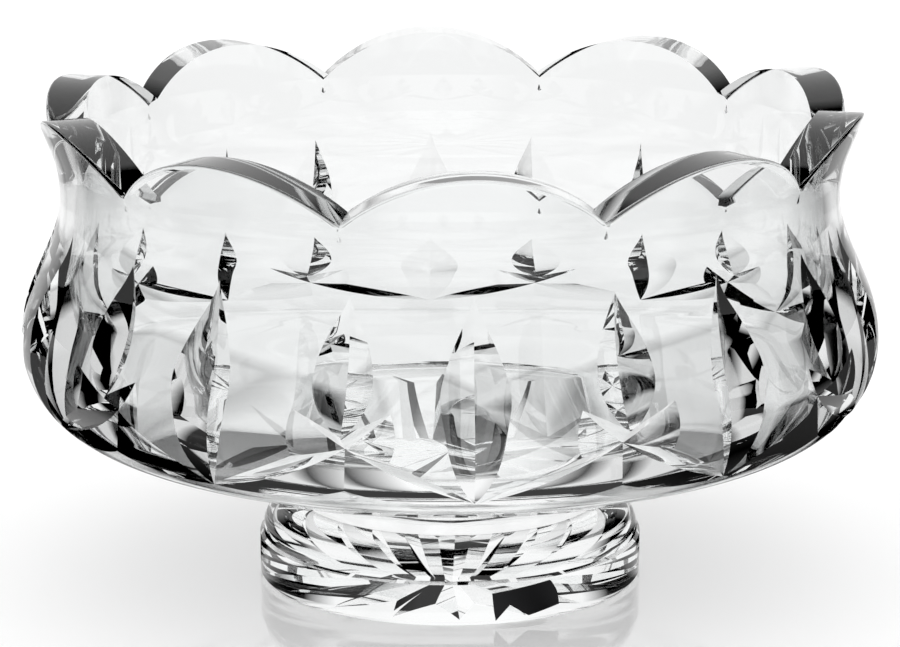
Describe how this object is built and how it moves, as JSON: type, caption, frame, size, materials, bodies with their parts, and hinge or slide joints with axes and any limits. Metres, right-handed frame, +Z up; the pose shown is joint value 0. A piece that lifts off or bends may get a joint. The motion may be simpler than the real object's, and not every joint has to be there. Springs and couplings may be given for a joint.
{
  "type": "trifle bowl",
  "caption": "Footed bowl of thick cut crystal glass, with a scalloped rim and mitre cuts round its belly, for layered desserts.",
  "frame": {"origin": "middle of the foot's resting face, on the bowl's axis", "axes": "+Z up along the bowl's axis; one peak of the scalloped rim faces -Y, the front"},
  "size_m": [0.2398, 0.2396, 0.137],
  "materials": {
    "bowl": "fire-polished crystal with ground and polished cuts",
    "merese": "fire-polished crystal",
    "foot": "ground and polished crystal",
    "label": "dark embossed foil"
  },
  "bodies": {
    "root": {"bowl": "bowl", "merese": "merese", "foot": "foot", "label": "label"}
  },
  "joints": []
}
